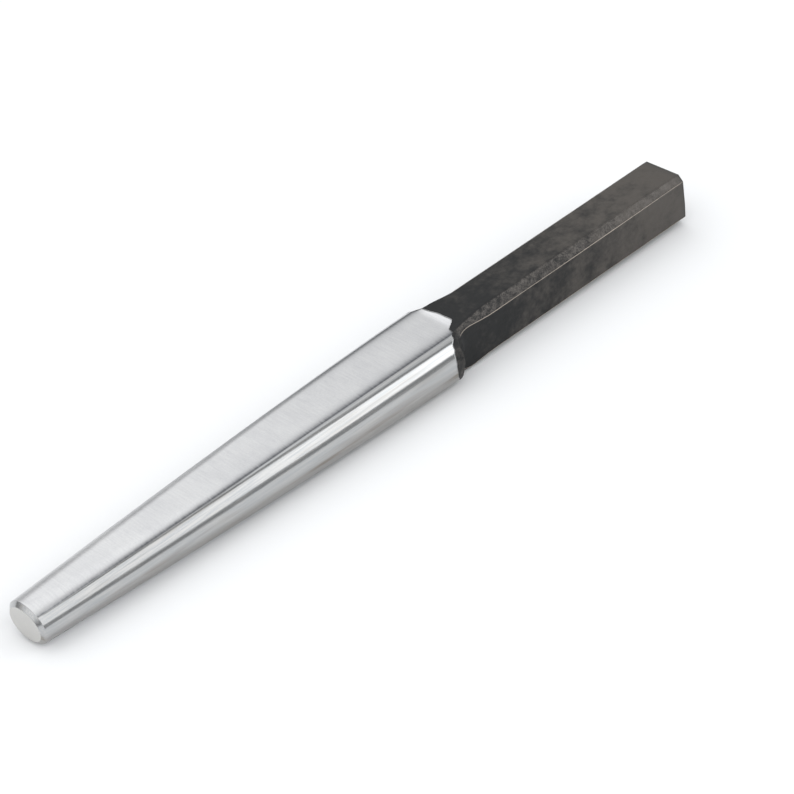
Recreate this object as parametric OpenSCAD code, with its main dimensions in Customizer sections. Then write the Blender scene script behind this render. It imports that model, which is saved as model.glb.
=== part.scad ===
// Eye drift: a one-piece forged steel tool that opens and trues the oval eye of a hammer or axe.
// X runs along the centreline from the tip to the struck end, Y across the wide side of the oval,
// Z up. The tool lies on the underside of its shank, and the origin is below its middle at z = 0.
// Every cross-section is one closed ring with the same number of points, from the oval of the
// ground taper to the bevelled square of the forged shank, so that neighbouring sections join up.

/* [Length] */
// Whole tool, from the tip face to the struck face
overall_len = 362; // [320:1:420]
// Ground taper, from the tip face to the shoulder on its rounded sides
taper_len = 213; // [170:1:230]

/* [Eye taper] */
// Width across the rounded sides at the shoulder, the largest eye that the drift makes
eye_w = 38; // [32:0.5:44]
// Height between the flats at the shoulder
eye_h = 22.2; // [18:0.2:28]
// Width of each flat at the shoulder, before the sides roll over
eye_flat_w = 21.6; // [14:0.2:26]
// Width just behind the tip chamfer
tip_w = 22; // [16:0.5:28]
// Height just behind the tip chamfer
tip_h = 17.7; // [13:0.1:20]
// Width of each flat at the tip, where the section is almost an ellipse
tip_flat_w = 1; // [0.4:0.2:8]
// How much the sides bow on their way to the tip, where 1 is a straight taper
side_bow = 1.5; // [1:0.05:2]
// How much the flats bow on their way to the tip, where 1 is a straight taper
flat_bow = 1.2; // [1:0.05:2]

/* [Tip] */
// Length of the chamfer round the tip face
tip_chamfer_len = 1.6; // [0.6:0.1:4]
// How far the chamfer draws in the tip face on every side
tip_chamfer_in = 1.9; // [0.6:0.1:4]

/* [Shoulder] */
// How much further the grinding runs along the middle of the flats than along the sides
grind_run = 11.5; // [4:0.5:14]
// Black forging left at full width between the ground side and the shoulder's corner
collar_len = 3.5; // [1:0.5:6]
// Length over which the sides step in from the collar to the shank
side_step_len = 8; // [5:0.5:14]
// Distance from the ground side to where the flats start to rise to the shank
flat_rise_from = 7; // [2:0.5:9]
// Length over which the flats rise to the shank
flat_rise_len = 8; // [4:0.5:14]

/* [Shank] */
// Width of the shank behind the shoulder
shank_w = 23.8; // [18:0.2:28]
// Height of the shank behind the shoulder
shank_h = 24.2; // [18:0.2:28]
// Width and height of the bevel on each long corner of the shank
shank_bevel = 3.4; // [1:0.1:6]
// Width of the shank at the struck end
struck_w = 23.4; // [18:0.2:28]
// Height of the shank at the struck end
struck_h = 23.2; // [18:0.2:28]
// Length over which the shank draws down to the struck end
draw_len = 78; // [30:1:100]
// Worn round on the rim of the struck face
rim_round = 1.2; // [0.4:0.1:3]

/* [Hidden] */

// Points in a quarter of a section: across half a flat, round the bevel, and down half a side
flat_steps = 3;
bevel_steps = 5;
side_steps = 7;
arc_steps = bevel_steps + side_steps;
// Rings along each stretch of the tool
taper_rings = 30;
shoulder_rings = 18;
draw_rings = 6;
rim_rings = 4;

// The middle of the tool, and the height of its centreline over the surface that it lies on
mid_x = overall_len / 2;
axis_z = max(shank_h, eye_h) / 2;
// Where the shoulder ends and the plain shank starts, measured from the tip face
side_step_from = taper_len + collar_len;
shank_from = taper_len + max(collar_len + side_step_len, flat_rise_from + flat_rise_len, grind_run) + 1;
// Middle of the surface inside the steel where the ground and the forged stretches meet
seam_mid_x = taper_len + grind_run / 2 - mid_x;

function mix(a, b, t) = a + (b - a) * t;
function clamp01(t) = min(1, max(0, t));
// An S-shaped step from 0 to 1, level at both ends: a convex corner that runs into a fillet
function s_step(t) = let (c = clamp01(t)) c * c * (3 - 2 * c);
// A bowed taper from a to b, steepest at a and level with the tool at b
function bowed(a, b, t, bow) = mix(a, b, 1 - pow(1 - clamp01(t), bow));

// A quarter of the oval: half a flat of width f, then a quarter ellipse g wide and b high
function oval_quarter(f, g, b) = concat(
    [for (i = [0 : flat_steps]) [f / 2 * i / flat_steps, b]],
    [for (i = [1 : arc_steps]) let (a = 90 * i / arc_steps) [f / 2 + g * sin(a), b * cos(a)]]
);

// A quarter of the bevelled square: half the top, the bevel, then half the side
function square_quarter(w, h, k) = concat(
    [for (i = [0 : flat_steps]) [(w / 2 - k) * i / flat_steps, h / 2]],
    [for (i = [1 : bevel_steps]) [w / 2 - k + k * i / bevel_steps, h / 2 - k * i / bevel_steps]],
    [for (i = [1 : side_steps]) [w / 2, (h / 2 - k) * (1 - i / side_steps)]]
);

// The other three quarters by symmetry, as one closed ring of [y, z]
function whole_ring(q) = let (n = len(q) - 1) concat(
    q,
    [for (i = [n - 1 : -1 : 0]) [q[i][0], -q[i][1]]],
    [for (i = [1 : n]) [-q[i][0], -q[i][1]]],
    [for (i = [n - 1 : -1 : 1]) [-q[i][0], q[i][1]]]
);

// Quarter of the ground oval at a distance s from the tip face, drawn in by inset at the chamfer
function taper_quarter(s, inset = 0) =
    let (
        t = (s - tip_chamfer_len) / (taper_len - tip_chamfer_len),
        f = bowed(tip_flat_w, eye_flat_w, t, side_bow),
        w = bowed(tip_w, eye_w, t, side_bow),
        h = bowed(tip_h, eye_h, t, flat_bow)
    )
    oval_quarter(f, (w - f) / 2 - inset, h / 2 - inset);

// Quarter of the shank at s, drawn in by inset at the rim of the struck face
function shank_quarter(s, inset = 0) =
    let (t = clamp01((s - overall_len + draw_len) / draw_len))
    square_quarter(
        mix(shank_w, struck_w, t) - 2 * inset,
        mix(shank_h, struck_h, t) - 2 * inset,
        shank_bevel
    );

// Quarter of the forging at s: the oval until the shoulder, the bevelled square after it.
// The width steps in and the height rises over stretches of their own.
function tool_quarter(s) =
    let (
        oval = taper_quarter(s),
        square = shank_quarter(s),
        step = s_step((s - side_step_from) / side_step_len),
        rise = s_step((s - taper_len - flat_rise_from) / flat_rise_len)
    )
    [for (i = [0 : len(oval) - 1]) [mix(oval[i][0], square[i][0], step), mix(oval[i][1], square[i][1], rise)]];

// Where the grinding stops at each point of a ring: late on the flats, early on the rounded sides
eye_ring = whole_ring(taper_quarter(taper_len));
function grind_end(i) = taper_len + grind_run * (1 - pow(eye_ring[i][0] / (eye_w / 2), 2));

ring_size = len(eye_ring);

// A point of the tool's skin, and a whole ring straight across the tool
function place(s, p) = [s - mid_x, p[0], p[1] + axis_z];
function flat_ring(s, q) = [for (p = whole_ring(q)) place(s, p)];

// A ring that moves from one stretch's first ring to the seam as t goes from 0 to 1
function swept_ring(from_s, t) = [
    for (i = [0 : ring_size - 1])
    let (s = mix(from_s, grind_end(i), t))
    place(s, whole_ring(tool_quarter(s))[i])
];

// Closes a stack of rings into a solid, with a fan of triangles round a centre at each end
module skin(rings, first_centre_x, last_centre_x) {
    n = ring_size;
    m = len(rings);
    points = concat([for (r = rings) each r], [[first_centre_x, 0, axis_z], [last_centre_x, 0, axis_z]]);
    sides = [
        for (j = [0 : m - 2], i = [0 : n - 1])
        let (a = j * n + i, b = j * n + (i + 1) % n, c = a + n, d = b + n)
        each [[a, b, c], [b, d, c]]
    ];
    first = [for (i = [0 : n - 1]) [m * n, (i + 1) % n, i]];
    last = [for (i = [0 : n - 1]) [m * n + 1, (m - 1) * n + i, (m - 1) * n + (i + 1) % n]];
    polyhedron(points = points, faces = concat(first, sides, last), convexity = 4);
}

// The ground stretch that is driven through the eye, with its chamfered tip
module working_taper() {
    color([0.78, 0.79, 0.80])
    skin(concat(
        [flat_ring(0, taper_quarter(0, tip_chamfer_in))],
        [for (j = [0 : taper_rings]) swept_ring(tip_chamfer_len, j / taper_rings)]
    ), -mid_x, seam_mid_x);
}

// The black forging between the grinding and the plain shank
module shoulder() {
    color([0.22, 0.22, 0.22])
    skin(
        [for (j = [0 : shoulder_rings]) swept_ring(shank_from, 1 - j / shoulder_rings)],
        seam_mid_x, shank_from - mid_x
    );
}

// The bevelled square bar that the smith holds, with its struck face
module shank() {
    draw_from = max(shank_from, overall_len - draw_len);
    color([0.27, 0.26, 0.25])
    skin(concat(
        [flat_ring(shank_from, tool_quarter(shank_from))],
        [for (j = [0 : draw_rings]) let (s = mix(draw_from, overall_len - rim_round, j / draw_rings))
            flat_ring(s, shank_quarter(s))],
        [for (j = [1 : rim_rings]) let (a = 90 * j / rim_rings, s = overall_len - rim_round * (1 - sin(a)))
            flat_ring(s, shank_quarter(s, rim_round * (1 - cos(a))))]
    ), shank_from - mid_x, mid_x);
}

working_taper();
shoulder();
shank();
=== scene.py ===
# %% [markdown]
# # An eye drift, forged black and ground bright
#
# An eye drift is a long steel taper with an oval section. A smith punches a hole through a hot hammer
# head and drives the drift in, and the hole stretches to the oval that a handle wants. The whole tool
# is one forging. Its front is ground bright so that it slides, and its back is left as it came from
# the fire, in black scale, because only the sledge touches it.
#
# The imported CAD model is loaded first. It is the fixed frame for everything that follows, so all the
# surfaces below are worked out in its coordinates: X along the tool, Y across it and Z up.

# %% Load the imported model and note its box
import math

import bpy
import numpy as np
from mathutils import Matrix, Vector


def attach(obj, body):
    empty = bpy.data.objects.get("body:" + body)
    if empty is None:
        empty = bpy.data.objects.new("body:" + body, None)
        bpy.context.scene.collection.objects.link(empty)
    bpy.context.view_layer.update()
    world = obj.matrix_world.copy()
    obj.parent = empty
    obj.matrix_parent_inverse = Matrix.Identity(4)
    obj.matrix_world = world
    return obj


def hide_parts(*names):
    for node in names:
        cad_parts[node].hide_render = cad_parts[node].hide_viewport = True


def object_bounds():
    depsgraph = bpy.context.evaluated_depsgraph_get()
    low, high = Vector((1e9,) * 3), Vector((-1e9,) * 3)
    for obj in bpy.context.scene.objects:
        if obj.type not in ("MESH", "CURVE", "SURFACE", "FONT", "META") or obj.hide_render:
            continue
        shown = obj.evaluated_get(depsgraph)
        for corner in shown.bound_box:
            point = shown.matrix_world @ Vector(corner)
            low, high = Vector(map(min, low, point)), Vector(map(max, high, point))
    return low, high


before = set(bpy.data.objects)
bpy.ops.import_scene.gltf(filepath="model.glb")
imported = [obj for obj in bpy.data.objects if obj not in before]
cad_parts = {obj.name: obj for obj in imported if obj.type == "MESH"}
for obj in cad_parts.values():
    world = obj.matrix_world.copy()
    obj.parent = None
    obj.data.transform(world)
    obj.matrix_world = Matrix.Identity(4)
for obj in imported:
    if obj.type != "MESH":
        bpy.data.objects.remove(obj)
cad_box = [list(corner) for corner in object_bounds()]
print("CAD box in metres", cad_box)

# %% [markdown]
# ## Camera
#
# The view is a long lens that looks down along the tool from the left, about 38 degrees above the
# floor. A camera can be aimed by hand or with a tracking constraint, but a fixed matrix is surer:
# its columns are the directions of the picture's right, its top and the way back to the lens.

# %% Camera
picture_side = 794
focal_px = 2911.7
lens_at = (-0.60307, -0.70981, 0.73242)
right = Vector((0.704833, -0.703841, -0.088424))
top = Vector((0.485264, 0.387476, 0.783825))
back = Vector((-0.517426, -0.595374, 0.614654))
lens = bpy.data.cameras.new("camera")
lens.sensor_width = 36
lens.lens = focal_px / picture_side * lens.sensor_width
lens.clip_start = 0.05
lens.clip_end = 20
camera = bpy.data.objects.new("camera", lens)
camera.matrix_world = Matrix.Translation(lens_at) @ Matrix((right, top, back)).transposed().to_4x4()
bpy.context.scene.collection.objects.link(camera)
bpy.context.scene.camera = camera
bpy.context.scene.view_settings.view_transform = "Standard"
print("lens", round(lens.lens, 1), "mm")

# %% [markdown]
# ## Sizes
#
# These are the driving sizes of the part's source, in millimetres, and distances along the tool are
# counted from its tip, as in the source. The arrays are turned into metres when a mesh is made.

# %% Sizes of the tool
overall_len = 362
taper_len = 213
eye_w = 38
eye_h = 22.2
eye_flat_w = 21.6
tip_w = 22
tip_h = 17.7
tip_flat_w = 1
side_bow = 1.5
flat_bow = 1.2
tip_chamfer_len = 1.6
tip_chamfer_in = 1.9
shank_w = 23.8
shank_h = 24.2
shank_bevel = 3.4
struck_w = 23.4
struck_h = 23.2
draw_len = 78
rim_round = 1.2
mid_s = overall_len / 2
axis_z = shank_h / 2
print("tool", overall_len, "mm long, eye", eye_w, "x", eye_h, "mm")

# %% [markdown]
# ## Curves that shape the tool
#
# Almost every form here is a blend from one size to another along the tool. An S-shaped step runs
# level into both, and a bowed taper starts steeply at the tip and flattens towards the shoulder, as
# this taper does. Blender's curves and noise textures could give such forms too, but a formula gives
# the same numbers in every run, and the shape and the finish can share them.


# %% Steps, tapers and even randomness
def s_step(a, b, x):
    """0 up to a and 1 from b on, with 3t^2 - 2t^3 between them, where t is the share of the way."""
    t = np.clip((x - a) / (b - a), 0, 1)
    return t * t * (3 - 2 * t)


def hump(centre, half, x):
    """A bell, exp(-((x - centre) / half)^2)."""
    return np.exp(-(((x - centre) / half) ** 2))


def bowed(a, b, t, bow):
    """From a to b as a + (b - a)(1 - (1 - t)^bow)."""
    return a + (b - a) * (1 - (1 - np.clip(t, 0, 1)) ** bow)


def mottle(s, turn, cell_s, cells_round, seed):
    """Even randomness from -1 to 1: random heights on a lattice, cell_s long by 1 / cells_round of a
    turn, joined by S-shaped steps in both directions. The lattice closes on itself round the tool."""
    heights = np.random.default_rng(seed).uniform(-1, 1, (int(400 / cell_s) + 2, cells_round))
    a = s / cell_s
    b = turn * cells_round
    i = np.floor(a).astype(int)
    j = np.floor(b).astype(int)
    u = s_step(0, 1, a - i)
    v = s_step(0, 1, b - j)
    j0 = j % cells_round
    j1 = (j + 1) % cells_round
    near_row = heights[i, j0] * (1 - v) + heights[i, j1] * v
    next_row = heights[i + 1, j0] * (1 - v) + heights[i + 1, j1] * v
    return near_row * (1 - u) + next_row * u


print("S-step half-way:", s_step(0, 1, 0.5), "and the taper half-way:", bowed(tip_w, eye_w, 0.5, side_bow))

# %% [markdown]
# ## One ring round the tool
#
# Every cross-section has the same columns, so that sections of any shape join into one skin. A column
# is a share q of a quarter turn: across half the flat, round the bevel, then down half the side. The
# columns crowd together where the bevel's two corners are, because a crisp corner needs close rows.


# %% Columns of a ring
q_flat = 3 / 15
q_bevel = 8 / 15
flat_columns = 18
bevel_columns = 26
side_columns = 28


def spread(a, b, count, crowding):
    """Columns from a to b: the share crowding of an ease (1 - cos(pi t)) / 2, closest at both ends,
    and the rest of an even step t."""
    t = np.arange(count) / count
    return a + (b - a) * (crowding * (1 - np.cos(np.pi * t)) / 2 + (1 - crowding) * t)


quarter = np.concatenate([
    spread(0, q_flat, flat_columns, 0.35),
    spread(q_flat, q_bevel, bevel_columns, 1),
    spread(q_bevel, 1, side_columns, 0.6),
])
# round the tool from the middle of the underside: near side, top, far side and back
falling = np.append(quarter[1:], 1)[::-1]
column_q = np.concatenate([quarter, falling, quarter, falling])
near = np.repeat([1, 1, -1, -1], len(quarter))
upper = np.repeat([-1, 1, 1, -1], len(quarter))
turn = (np.repeat([0, 1, 2, 3], len(quarter)) + np.concatenate([quarter, 1 - falling] * 2)) / 4
columns = len(column_q)
print(columns, "columns round the tool")

# %% [markdown]
# ## Sections
#
# The ground oval is two flats joined by half-ellipses, and the shank is a square with its corners
# bevelled off. The real shank was forged by eye: its top slopes a little to the far side, its near
# side leans out, and its bevels are narrower at both ends. These small faults keep it from looking
# like bar stock, and all of them stay inside the CAD box. A Bevel modifier on a box would give even
# corners, but here every ring can have a bevel of its own.


# %% Oval and square
def oval(q, flat, side, high):
    """Half a flat, then a quarter ellipse: y = flat/2 + side sin a, z = high cos a."""
    a = np.clip((q - q_flat) / (1 - q_flat), 0, 1) * np.pi / 2
    y = flat / 2 * np.clip(q / q_flat, 0, 1) + side * np.sin(a)
    return y, high * np.cos(a)


def bevelled_square(q, w, h, bevel):
    """Half the top, the bevel, then half the side, each a straight run of its share of q."""
    top_part = np.clip(q / q_flat, 0, 1)
    bevel_part = np.clip((q - q_flat) / (q_bevel - q_flat), 0, 1)
    side_part = np.clip((q - q_bevel) / (1 - q_bevel), 0, 1)
    y = (w / 2 - bevel) * top_part + bevel * bevel_part
    z = h / 2 - bevel * bevel_part - (h / 2 - bevel) * side_part
    return y, z


def ground_section(s, q, inset=0):
    """The oval at s, bowed along the tool in width, in height and in the width of its flats."""
    t = (s - tip_chamfer_len) / (taper_len - tip_chamfer_len)
    flat = bowed(tip_flat_w, eye_flat_w, t, side_bow)
    wide = bowed(tip_w, eye_w, t, side_bow)
    high = bowed(tip_h, eye_h, t, flat_bow)
    return oval(q, flat, (wide - flat) / 2 - inset, high / 2 - inset)


eye_y, eye_z = ground_section(taper_len, column_q)
print("eye at the shoulder:", round(2 * eye_y.max(), 2), "x", round(2 * eye_z.max(), 2), "mm")

# %% Blend from the oval to the square
# the sides leave the full width at a crisp corner, a little later on the far side of the tool and
# earlier underneath, and the flats rise to the shank further on
corner_s = 217.2
corner_run = 7.2
far_corner_late = 2.0
under_corner_early = 0.7
fillet_power = 1.8
flat_rise_from = 7
flat_rise_len = 8
# the bevels start at half their size and are full after twenty millimetres
bevel_from_s = 222
bevel_full_s = 242
first_bevel = 0.5
struck_bevel_loss = 0.25
# the top falls by this share to the far side, over this width from its near edge
top_fall = 0.05
top_edge_y = 8.6
top_run = 17
# the near side leans out by this much, over this height from its upper edge
side_lean = 0.7
side_edge_z = 8
side_run = 11


def forged_section(s, q, inset=0):
    """The oval that steps in to the bevelled square: the sides drop off a crisp corner into a
    fillet, 1 - (1 - t)^fillet_power, and the flats rise by an S-shaped step."""
    oval_y, oval_z = ground_section(s, q)
    t = np.clip((s - overall_len + draw_len) / draw_len, 0, 1)
    w = shank_w + (struck_w - shank_w) * t - 2 * inset
    h = shank_h + (struck_h - shank_h) * t - 2 * inset
    settled = s_step(bevel_from_s, bevel_full_s, s)
    bevel = shank_bevel * (first_bevel + (1 - first_bevel) * settled) * (1 - struck_bevel_loss * t)
    square_y, square_z = bevelled_square(q, w, h, bevel)
    early = np.where(upper > 0, 0, under_corner_early) - np.where(near > 0, 0, far_corner_late)
    corner = np.clip((s - corner_s + early) / corner_run, 0, 1)
    step = 1 - (1 - corner) ** fillet_power
    rise = s_step(taper_len + flat_rise_from, taper_len + flat_rise_from + flat_rise_len, s)
    y = oval_y + (square_y - oval_y) * step
    z = oval_z + (square_z - oval_z) * rise
    fall = settled * (upper > 0) * np.clip((top_edge_y - near * y) / top_run, 0, 1)
    z = z * (1 - top_fall * fall)
    lean = settled * (near > 0) * np.clip((side_edge_z - upper * z) / side_run, 0, 1)
    return y + side_lean * lean, z


shank_y, shank_z = forged_section(np.array(290.0), column_q)
shank_size = [round(float(np.ptp(near * shank_y)), 2), round(float(np.ptp(upper * shank_z)), 2)]
print("shank at 290 mm from the tip:", shank_size, "mm")

# %% [markdown]
# ## Where the grinding stops
#
# The bright metal ends on a curve, because the belt that ground the taper runs out late on the flats
# and early on the rounded sides. On the near edge it dips round a lump at the start of the bevel. The
# curve could be cut with a Boolean, but both skins can simply end on the same row of points: a few
# places on the curve are joined smoothly for every column, and no gap can open.


# %% The line where the grinding stops
def through(places, q):
    """A smooth line through (q, s) places, with S-shaped steps between neighbours."""
    line = np.full_like(q, places[0][1], dtype=float)
    for (q0, s0), (q1, s1) in zip(places, places[1:]):
        line = line + (s1 - s0) * s_step(q0, q1, q)
    return line


# each place is a column's share q and the distance from the tip, for one quarter of the ring
near_top = [(0, 224.8), (0.09, 225.0), (0.16, 219.9), (0.3, 217.7), (0.52, 214.5), (0.75, 213.0), (1, 212.5)]
near_under = [(0, 224.4), (0.2, 222.5), (0.53, 215.5), (0.86, 213.0), (1, 212.5)]
far_top = [(0, 224.8), (0.2, 223.2), (0.38, 220.0), (0.6, 216.0), (0.8, 213.4), (1, 212.5)]
far_under = [(0, 224.4), (0.2, 222.0), (0.5, 216.5), (0.8, 213.2), (1, 212.5)]
seam_s = np.select(
    [(near > 0) & (upper > 0), (near > 0) & (upper < 0), (near < 0) & (upper > 0)],
    [through(near_top, column_q), through(near_under, column_q), through(far_top, column_q)],
    through(far_under, column_q),
)
grind_ripple = 0.12
seam_s = seam_s + grind_ripple * mottle(np.full(columns, 10.0), turn, cell_s=5, cells_round=60, seed=4)
print("the grinding stops between", seam_s.min().round(1), "and", seam_s.max().round(1), "mm from the tip")

# %% [markdown]
# ## From rings to a closed skin
#
# A mesh of a hundred thousand faces is slow to make face by face and quick when whole arrays go into
# it at once. The rings give the sides, and one centre point closes each end. Relief is a small push
# along the surface's own direction, worked out from the differences between neighbouring points.


# %% Skins
def direction_out(p):
    """Unit vectors out of the skin: the cross product of the steps along and round the tool."""
    along = np.gradient(p, axis=0)
    round_it = np.roll(p, -1, axis=1) - np.roll(p, 1, axis=1)
    n = np.cross(along, round_it)
    n /= np.maximum(np.linalg.norm(n, axis=2, keepdims=True), 1e-12)
    outward = np.sign(np.sum(n[..., 1] * p[..., 1] + n[..., 2] * (p[..., 2] - axis_z)))
    return n * outward


def kept_in_box(p):
    """The points moved, where need be, back inside the CAD box, in millimetres."""
    low, high = (np.array(corner) * 1000 for corner in cad_box)
    return np.clip(p, low, high)


def make_skin(name, p, first, last, **fields):
    """A closed mesh from rings p, in millimetres, with a centre point at each end. A field is a
    number for every point, which a material can read."""
    rows, cols = p.shape[:2]
    points = np.concatenate([kept_in_box(p).reshape(-1, 3), [first, last]]) / 1000
    i, j = np.meshgrid(np.arange(rows - 1), np.arange(cols), indexing="ij")
    a = i * cols + j
    b = i * cols + (j + 1) % cols
    quads = np.stack([a, a + cols, b + cols, b], axis=-1).reshape(-1, 4)
    k = np.arange(cols)
    head = np.stack([np.full(cols, rows * cols), k, (k + 1) % cols], axis=-1)
    tail_row = (rows - 1) * cols
    tail = np.stack([np.full(cols, rows * cols + 1), tail_row + (k + 1) % cols, tail_row + k], axis=-1)
    corners = np.concatenate([quads.ravel(), head.ravel(), tail.ravel()])
    counts = np.concatenate([np.full(len(quads), 4), np.full(2 * cols, 3)])
    starts = np.concatenate([[0], np.cumsum(counts)[:-1]])
    mesh = bpy.data.meshes.new(name)
    mesh.vertices.add(len(points))
    mesh.vertices.foreach_set("co", points.astype(np.float32).ravel())
    mesh.loops.add(len(corners))
    mesh.loops.foreach_set("vertex_index", corners.astype(np.int32))
    mesh.polygons.add(len(counts))
    mesh.polygons.foreach_set("loop_start", starts.astype(np.int32))
    mesh.polygons.foreach_set("loop_total", counts.astype(np.int32))
    mesh.polygons.foreach_set("use_smooth", np.ones(len(counts), bool))
    for field, values in fields.items():
        ends = [values[0].mean(), values[-1].mean()]
        layer = mesh.attributes.new(field, "FLOAT", "POINT")
        layer.data.foreach_set("value", np.concatenate([values.ravel(), ends]).astype(np.float32))
    mesh.update()
    mesh.validate()
    piece = bpy.data.objects.new(name, mesh)
    bpy.context.scene.collection.objects.link(piece)
    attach(piece, "root")
    print(name, len(points), "points and", len(quads) * 2 + 2 * cols, "triangles")
    return piece


def place(s, y, z):
    """Points in the frame, in millimetres. The near side of the tool is -Y."""
    s, y, z = np.broadcast_arrays(s, y, z)
    return np.stack([s - mid_s, -near * y, axis_z + upper * z], axis=-1)


# %% [markdown]
# ## The ground taper
#
# A grinding belt leaves the flats very slightly wavy, and rolls the edge of the chamfer. The tip face
# carries a small centre mark. A cylinder could be scaled and tapered by hand, but a bow that differs
# in width and in height is easier as a formula. The rows run from the middle of the tip face over the
# chamfer and down the taper to the line where the grinding stops.

# %% Rows of the ground taper
centre_mark_depth = 0.25
centre_mark_radius = 0.45
face_rows = np.array([0.02, 0.05, 0.08, 0.12, 0.2, 0.3, 0.4, 0.5, 0.6, 0.7, 0.8, 0.88, 0.94, 0.97, 0.985])
share = face_rows[:, None]
inner_y, inner_z = ground_section(np.array(0.0), column_q, tip_chamfer_in)
face_y, face_z = share * inner_y, share * inner_z
face_s = centre_mark_depth * np.exp(-((face_y**2 + face_z**2) / centre_mark_radius**2))

cut = np.array([0, 0.03, 0.08, 0.2, 0.35, 0.5, 0.65, 0.8, 0.92, 0.97])[:, None]
cut_s = tip_chamfer_len * cut + 0 * turn
cut_y, cut_z = ground_section(cut_s, column_q, tip_chamfer_in * (1 - cut))

# the first rows after the chamfer are close, to keep its edge crisp
run = np.concatenate([[0, 0.0004, 0.001, 0.002, 0.0035], np.linspace(0.006, 1, 296)])[:, None]
body_s = tip_chamfer_len + (seam_s - tip_chamfer_len) * run
body_y, body_z = forged_section(body_s, column_q)

ground = place(
    np.concatenate([face_s, cut_s, body_s]),
    np.concatenate([face_y, cut_y, body_y]),
    np.concatenate([face_z, cut_z, body_z]),
)
print("ground taper:", len(ground), "rows, of which", len(body_s), "behind the chamfer")

# %% [markdown]
# ## What the belt left
#
# The satin of the flats ends on a line that stays near the flat at the shoulder and spreads on to the
# oval at the tip, and the cross scratches are deepest where the belt ran off it. On the far side near
# the tip the dark fringe is widened into painted shade. Those marks could be painted by hand. As fields
# on the points they stay exact, and the shape and the finish share them.

# %% Belt marks, painted shade and the finished taper
satin_half_tip = 7.3
satin_half_shoulder = 11.4
hidden_satin_extra = 2.2
shown_side = (near > 0) & (upper > 0)
along_taper = body_s / taper_len
line_y = bowed(satin_half_tip, satin_half_shoulder, along_taper, 2.0)
# on the other sides the line lies further out, and on the far side this carries the painted shade of the
# fringe over the rounded edge
line_y = line_y + np.where(shown_side, 0, hidden_satin_extra)
rounded = s_step(-0.3, 0.3, body_y - line_y)

# how far the dark fringe reaches into the satin, and into the polish on the two sides of the tool; near the
# tip the wide fringe on the far side is painted shade
satin_fringe = bowed(0.8, 3.2, along_taper, 1)
near_fringe = 0.35
far_painted_shade = bowed(3.0, near_fringe, along_taper, 1)
polished_fringe_and_shade = np.where(near > 0, near_fringe, far_painted_shade)
reach = np.where(body_y < line_y, satin_fringe, polished_fringe_and_shade)
runoff = np.exp(-np.abs(body_y - line_y) / reach)

belt_wave = 0.035 * mottle(body_s, turn, cell_s=17, cells_round=12, seed=11)
belt_wave = belt_wave + 0.016 * mottle(body_s, turn, cell_s=5, cells_round=28, seed=12)
long_streak = 0.012 * mottle(body_s, turn, cell_s=60, cells_round=36, seed=13)
long_streak = long_streak + 0.012 * mottle(body_s, turn, cell_s=21, cells_round=16, seed=14)
runoff_groove = 0.05 * hump(line_y, 0.4, body_y)
ground_skin_loss = 0.04
relief = belt_wave * (1 - rounded) + long_streak * rounded - runoff_groove - ground_skin_loss
relief = relief * s_step(0, 3, body_s - tip_chamfer_len) * (1 - s_step(0.99, 1, run))
body_rows = slice(len(share) + len(cut), None)
ground[body_rows] += direction_out(ground[body_rows]) * relief[..., None]

seam_middle = (taper_len - 4 - mid_s, 0, axis_z)
taper = make_skin(
    "ground_taper", ground, (-mid_s + centre_mark_depth, 0, axis_z), seam_middle,
    rounded=np.concatenate([np.ones_like(face_s), np.ones_like(cut_s), rounded]),
    runoff=np.concatenate([np.zeros_like(face_s), np.zeros_like(cut_s), runoff]),
    faced=np.concatenate([np.ones_like(face_s), np.zeros_like(cut_s), np.zeros_like(body_s)]),
)
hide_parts("working_taper")

# %% [markdown]
# ## The forged shoulder and shank
#
# Behind the grinding the steel is as the hammer left it. The shoulder's corner drops off into a
# fillet, and the bevels start as rounded lumps in its corners. The two could be cut from a block and
# joined, but one skin over both has no seam, as the forging has none. The rows are closest at the
# shoulder, where the form changes fastest, and the rim of the struck end is worn round.

# %% Rows of the shoulder and shank
settle_s = 238
early_share = (np.linspace(0, 1, 74, endpoint=False) ** 1.15)[:, None]
early_s = seam_s + (settle_s - seam_s) * early_share
late_s = np.linspace(settle_s, overall_len - rim_round, 226)[:, None] + 0 * turn
skin_s = np.concatenate([early_s, late_s])
skin_y, skin_z = forged_section(skin_s, column_q)

bend = np.radians(np.array([12, 24, 36, 48, 60, 72, 84, 90]))[:, None]
rim_s = overall_len - rim_round * (1 - np.sin(bend)) + 0 * turn
rim_y, rim_z = forged_section(rim_s, column_q, rim_round * (1 - np.cos(bend)))
struck_share = np.array([0.97, 0.9, 0.8, 0.65, 0.5, 0.35, 0.2, 0.08])[:, None]
struck_y, struck_z = struck_share * rim_y[-1], struck_share * rim_z[-1]
struck_s = np.full_like(struck_y, overall_len)

forged = place(
    np.concatenate([skin_s, rim_s, struck_s]),
    np.concatenate([skin_y, rim_y, struck_y]),
    np.concatenate([skin_z, rim_z, struck_z]),
)
print("shoulder and shank:", len(forged), "rows")

# %% [markdown]
# ## What the hammer and the fire left
#
# Scale has broken off along the bevels and left cross marks there. Each bevel meets the side in a thin
# raised edge, and shallow dents cover the rest. Displacement in a material would only show in the
# render, so the marks are pushed into the points, and the same fields then colour them.

# %% Forging marks and the finished shank
# each field says how much a point belongs to the thing that it is named for
past_shoulder = s_step(216.5, 224, skin_s)
past_grinding = skin_s - seam_s
on_side = s_step(q_bevel - 0.05, q_bevel + 0.1, column_q)
collar = (1 - s_step(216.6, 218.0, skin_s)) * on_side
arris = hump(q_bevel, 0.016, column_q)
top_edge = hump(q_flat, 0.012, column_q)
band = s_step(q_flat - 0.01, q_flat + 0.02, column_q) * (1 - s_step(q_bevel - 0.02, q_bevel + 0.01, column_q))
lump = hump(220.6, 2.6, skin_s) * hump(0.34, 0.12, column_q)

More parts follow.
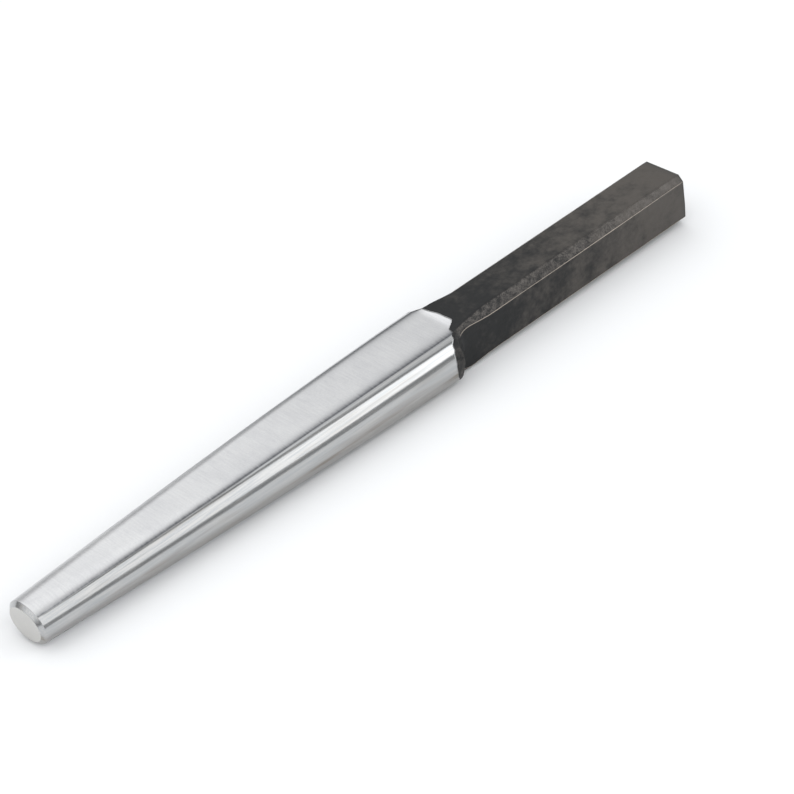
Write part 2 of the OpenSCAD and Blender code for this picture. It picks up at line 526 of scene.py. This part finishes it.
# heights in millimetres
ladder = 0.055 * mottle(skin_s, turn, cell_s=1.1, cells_round=48, seed=21)
ladder = ladder + 0.0385 * mottle(skin_s, turn, cell_s=2.6, cells_round=96, seed=22)
dents = 0.09 * mottle(skin_s, turn, cell_s=24, cells_round=9, seed=23)
dents = dents + 0.05 * mottle(skin_s, turn, cell_s=9, cells_round=22, seed=24)
crust = 0.014 * mottle(skin_s, turn, cell_s=1.6, cells_round=80, seed=25)
skin_loss = 0.08
broken_loss = 0.05
arris_height = 0.09
top_edge_loss = 0.05
lump_height = 0.5 * np.where(shown_side, 1, 0.4)
step_at_grinding = 0.12

relief = (dents * (1 - 0.6 * arris) + crust - skin_loss) * s_step(1, 6, past_grinding)
relief = relief + past_shoulder * band * (ladder - broken_loss)
relief = relief + past_shoulder * (arris_height * arris - top_edge_loss * top_edge)
relief = relief + lump_height * lump
relief = relief - step_at_grinding * (1 - s_step(0, 0.5, past_grinding))
forged[:len(skin_s)] += direction_out(forged[:len(skin_s)]) * relief[..., None]

# the rim and the struck face carry only a trace of the edge and of the broken scale
end_rows = len(rim_s) + len(struck_s)
end_trace = 0.3
# painted shade on the rounded rim: the last millimetres before it, the rim and the struck face are painted
# darker
rim_shade_fade = s_step(overall_len - 5, overall_len - 0.5, skin_s)
shank = make_skin(
    "forged_shank", forged, seam_middle, (mid_s, 0, axis_z),
    arris=np.concatenate([past_shoulder * arris, np.tile(arris, (end_rows, 1)) * end_trace]),
    band=np.concatenate([past_shoulder * band + 0.6 * collar, np.tile(band, (end_rows, 1)) * end_trace]),
    worn=np.concatenate([rim_shade_fade, np.ones((end_rows, columns))]),
)
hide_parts("shoulder", "shank")

# %% [markdown]
# ## Writing shader maths as Python
#
# A finish is a small graph of nodes. Wiring it by hand hides the idea, so one class wraps a socket and
# lets ordinary arithmetic add the Math nodes: 1 - mask is then a Subtract node. Every other node comes
# from one method that takes the node's type, its settings and what goes into its sockets.


# %% Sockets that can be added, multiplied and mixed
class Wire:
    """One output socket of a material. Arithmetic on it adds Math nodes."""

    def __init__(self, tree, socket):
        self.tree = tree
        self.socket = socket

    def node(self, kind, settings=None, sockets=None, out=0):
        """Adds a node: first its settings (stops fill a colour ramp), then each socket's value or wire."""
        made = self.tree.nodes.new(kind)
        for key, value in (settings or {}).items():
            if key == "stops":
                ramp = made.color_ramp.elements
                while len(ramp) < len(value):
                    ramp.new(1)
                for stop, (at, colour) in zip(ramp, value):
                    stop.position = at
                    stop.color = (*colour, 1)
            else:
                setattr(made, key, value)
        for key, value in (sockets or {}).items():
            if isinstance(value, Wire):
                self.tree.links.new(value.socket, made.inputs[key])
            else:
                made.inputs[key].default_value = value
        return Wire(self.tree, made.outputs[out])

    def maths(self, operation, *values):
        return self.node("ShaderNodeMath", {"operation": operation}, dict(enumerate(values)))

    def __add__(self, other):
        return self.maths("ADD", self, other)

    __radd__ = __add__

    def __mul__(self, other):
        return self.maths("MULTIPLY", self, other)

    __rmul__ = __mul__

    def __sub__(self, other):
        return self.maths("SUBTRACT", self, other)

    def __rsub__(self, other):
        return self.maths("SUBTRACT", other, self)

    def step(self, low, high):
        """0 below low and 1 above high, with an S-shaped step between them."""
        settings = {"interpolation_type": "SMOOTHSTEP"}
        return self.node("ShaderNodeMapRange", settings, {0: self, 1: low, 2: high})

    def stretched(self, *scale):
        """Coordinates multiplied by a scale on each axis."""
        return self.node("ShaderNodeMapping", {"vector_type": "POINT"}, {0: self, 3: scale})

    def noise(self, scale, detail=2.0, rough=0.5):
        """Cloudy noise around 0.5 on these coordinates."""
        sockets = {"Vector": self, "Scale": scale, "Detail": detail, "Roughness": rough}
        return self.node("ShaderNodeTexNoise", None, sockets)

    def axis(self, index):
        """The X, Y or Z of this vector, for index 0, 1 or 2."""
        return self.node("ShaderNodeSeparateXYZ", None, {0: self}, index)

    def mix(self, a, b):
        """Colour a where this is 0 and colour b where it is 1."""
        return self.node("ShaderNodeMix", {"data_type": "RGBA"}, {0: self, 6: a, 7: b}, 2)


def start_finish(name):
    """A new material, its shader node, and a wire that carries Object coordinates in millimetres."""
    material = bpy.data.materials.new(name)
    material.use_nodes = True
    tree = material.node_tree
    shader = tree.nodes["Principled BSDF"]
    at = Wire(tree, tree.nodes.new("ShaderNodeTexCoord").outputs["Object"])
    return material, shader, at.stretched(1000, 1000, 1000)


def field(at, name):
    """A wire that carries one of the numbers stored on the points of the mesh."""
    return at.node("ShaderNodeAttribute", {"attribute_name": name}, None, 2)


def plug(shader, **sockets):
    """Puts wires or plain values on the shader's sockets. An underscore stands for a space."""
    for key, value in sockets.items():
        socket = shader.inputs[key.replace("_", " ")]
        if isinstance(value, Wire):
            value.tree.links.new(value.socket, socket)
        else:
            socket.default_value = value


print("shader helpers ready")

# %% [markdown]
# ## Ground steel
#
# The belt ran across the flats, so they have fine cross lines and a cloudy satin look. The rounded
# sides were turned under the belt and polished along the tool: they mirror the lamps in long straight
# stripes, with brownish streaks where the polish is thinner, and below the middle of each side a
# painted reflection makes them darker and browner. Two materials with a hard border would do, but one
# metallic shader and the field "rounded" let the satin run over into the polish.

# %% Patterns of the ground steel
steel, shader, at = start_finish("ground steel")
rounded_part = field(at, "rounded")
faced_part = field(at, "faced")
runoff_and_shade_part = field(at, "runoff")
cloud = at.noise(0.055, 3, 0.6)
speckle = at.noise(1.6, 2, 0.6)
cross_lines = at.stretched(1.3, 0.09, 0.09).noise(1.0, 3, 0.65)
long_lines = at.stretched(0.012, 1.6, 1.6).noise(1.0, 3, 0.6)
brown = at.stretched(0.02, 0.35, 0.35).noise(1.0, 2, 0.5).step(0.5, 0.72)
print("patterns of the ground steel:", len(steel.node_tree.nodes), "nodes")

# %% Ground steel
satin_dark = (0.50, 0.50, 0.52, 1)
satin_light = (0.74, 0.74, 0.735, 1)
# the next dark colour serves both the belt scratches and the painted shade of the far fringe
scratch_and_shade_dark = (0.085, 0.09, 0.10, 1)
polish_dark = (0.43, 0.44, 0.45, 1)
polish_light = (0.51, 0.505, 0.50, 1)
# the next colour serves both the random brown streaks and the painted reflection low on the sides
brown_streak_and_reflection = (0.27, 0.245, 0.215, 1)
tip_face_grey = (0.62, 0.61, 0.59, 1)

flat_tone = cloud * 0.22 + cross_lines * 0.3 + speckle * 0.24 + 0.12
flat_colour = flat_tone.step(0.2, 0.8).mix(satin_dark, satin_light)
# dark belt scratches along the runoff field, and the painted shade that it carries on the far side near the
# tip
scratch_and_shade_mask = (runoff_and_shade_part * (cross_lines * 0.9 + 0.5)).step(0.05, 1.0)
flat_colour = scratch_and_shade_mask.mix(flat_colour, scratch_and_shade_dark)

# painted reflection: below the middle of the side the polish is painted darker and browner
lower_painted_reflection = (axis_z + 1 - at.axis(2)).step(0, 4)
side_tone = (long_lines * 0.85 + speckle * 0.15).step(0.35, 0.65)
streaks_and_reflection = brown * 0.3 + lower_painted_reflection * (0.4 + brown * 0.4)
side_colour = streaks_and_reflection.mix(side_tone.mix(polish_dark, polish_light), brown_streak_and_reflection)
side_colour = faced_part.mix(side_colour, tip_face_grey)

polished = rounded_part * (1 - faced_part)
flat_rough = cloud * 0.08 + speckle * 0.08 + 0.28
side_rough = long_lines * 0.10 + speckle * 0.04 + 0.10
scratches = (cross_lines * 0.6 + speckle * 0.4) * (1 - polished) + long_lines * polished * 0.25
bump = at.node("ShaderNodeBump", None, {"Strength": 0.35, "Distance": 0.00006, "Height": scratches})
plug(
    shader, Metallic=1.0, Base_Color=rounded_part.mix(flat_colour, side_colour), Normal=bump,
    Roughness=flat_rough * (1 - polished) + side_rough * polished,
)
taper.data.materials.append(steel)
print("ground steel:", len(steel.node_tree.nodes), "nodes")

# %% [markdown]
# ## Black forge scale
#
# Scale is a thin skin of iron oxide: nearly black beside the shoulder, and rubbed to a warm dark grey
# towards the struck end, where hands and the sledge have worn it. The thin edges of the bevels are
# rubbed through to bare steel. Scale is a dielectric, so only those edges are metallic. A picture of
# rust could be wrapped round the bar, but noise of three sizes needs no picture and shows no repeat.

# %% Black forge scale
fresh_scale = (0.005, 0.0055, 0.006, 1)
rubbed_scale = (0.064, 0.056, 0.049, 1)
broken_scale = (0.115, 0.103, 0.094, 1)
bare_edge = (0.42, 0.37, 0.32, 1)
# the next colour is painted shade for the rim and the struck face
painted_rim_shade = (0.03, 0.03, 0.03, 1)

scale_skin, shader, at = start_finish("black forge scale")
arris_part = field(at, "arris")
band_part = field(at, "band")
rim_shade_part = field(at, "worn")
blotch = at.noise(0.12, 3, 0.6)
patch = at.noise(0.45, 3, 0.65)
grit = at.noise(1.7, 3, 0.7)

# rubbed grows along the tool, and the noise breaks up its border
rubbed = (at.axis(0) * 0.0075 - 0.35 + (blotch - 0.5) * 1.5 + (patch - 0.5) * 0.5).step(0, 1)
broken = (patch * 0.5 + grit * 0.5).step(0.38, 0.66) * band_part * 0.8
bare = (arris_part * (grit * 0.9 + 0.35)).step(0.35, 0.75)
colour = rubbed.mix(fresh_scale, rubbed_scale)
colour = broken.mix(colour, broken_scale)
colour = bare.mix(colour, bare_edge)
# painted shade: the rim and the struck face are painted patchily near-black
colour = (rim_shade_part * patch * 0.8).mix(colour, painted_rim_shade)

crusty = grit * 0.6 + patch * 0.4
bump = at.node("ShaderNodeBump", None, {"Strength": 0.5, "Distance": 0.00015, "Height": crusty})
plug(
    shader, Base_Color=colour, Metallic=bare * 0.7, Normal=bump,
    Roughness=0.62 - rubbed * 0.1 - patch * 0.2, IOR=1.38,
)
shank.data.materials.append(scale_skin)
print("black forge scale:", len(scale_skin.node_tree.nodes), "nodes")

# %% [markdown]
# ## Floor and light
#
# The tool lies on a pale floor on the underside of its shank and on its nose, which hangs down by two
# thirds of a degree, so the floor is tilted by as much in the tool's frame. Steel shows its
# surroundings, and a studio for steel is built from long white strips with dark gaps between them. The
# strips run along the tool, so one number gives them: the roll round the X axis, from straight up
# towards the near side. Area lamps would do, but strips in the World stay straight along the steel.

# %% Floor
nose = Vector((-0.179, 0, 0.00322))
heel = Vector((0.100, 0, -0.00003))
floor_half = 4
slope = (heel - nose).normalized()
across = Vector((0, 1, 0))
floor_axes = Matrix((slope, across, slope.cross(across))).transposed()
floor_corners = [
    heel + floor_axes @ Vector((x * floor_half, y * floor_half, 0))
    for x, y in ((-1, -1), (1, -1), (1, 1), (-1, 1))
]
floor_mesh = bpy.data.meshes.new("floor")
floor_mesh.from_pydata(floor_corners, [], [(0, 1, 2, 3)])
floor = bpy.data.objects.new("floor", floor_mesh)
bpy.context.scene.collection.objects.link(floor)
paper, shader, at = start_finish("pale paper")
plug(shader, Base_Color=(0.845, 0.85, 0.86, 1), Roughness=0.9)
floor_mesh.materials.append(paper)
print("floor slopes by", round(math.degrees(slope.angle(Vector((1, 0, 0)))), 2), "degrees")

# %% Studio strips
world = bpy.data.worlds.new("studio")
bpy.context.scene.world = world
world.use_nodes = True
tree = world.node_tree
ray = Wire(tree, tree.nodes.new("ShaderNodeTexCoord").outputs["Generated"])
ray_x = ray.axis(0)
ray_z = ray.axis(2)
roll = ray.maths("ARCTAN2", 0 - ray.axis(1), ray_z) * (180 / math.pi)


def strip(start, stop, soft):
    """1 for rolls between start and stop degrees, fading over soft degrees outside them."""
    return roll.step(start - soft, start) * (1 - roll.step(stop, stop + soft))


# only rays that go on down the tool, as the steel mirrors them to the lens, meet the strips, and the
# far half of each strip has a brightness of its own
down_tool = ray_x.step(0.05, 0.25)
far_end = ray_x.step(0.37, 0.5)
key_strip = strip(25, 70, 3) * (1.0 + far_end * 0.9)
back_strip = strip(-58, 2, 10) * (1.16 - far_end * 0.7)
dark_gap = 0.4
strips = key_strip + back_strip + dark_gap
open_sky = ray_z.step(0.05, 0.4) * 1.1 + 0.25
glow = strips * down_tool + open_sky * (1 - down_tool)
background = tree.nodes["Background"]
tree.links.new(glow.socket, background.inputs["Strength"])
background.inputs["Color"].default_value = (0.985, 0.995, 1.0, 1)
print("studio:", len(tree.nodes), "nodes")
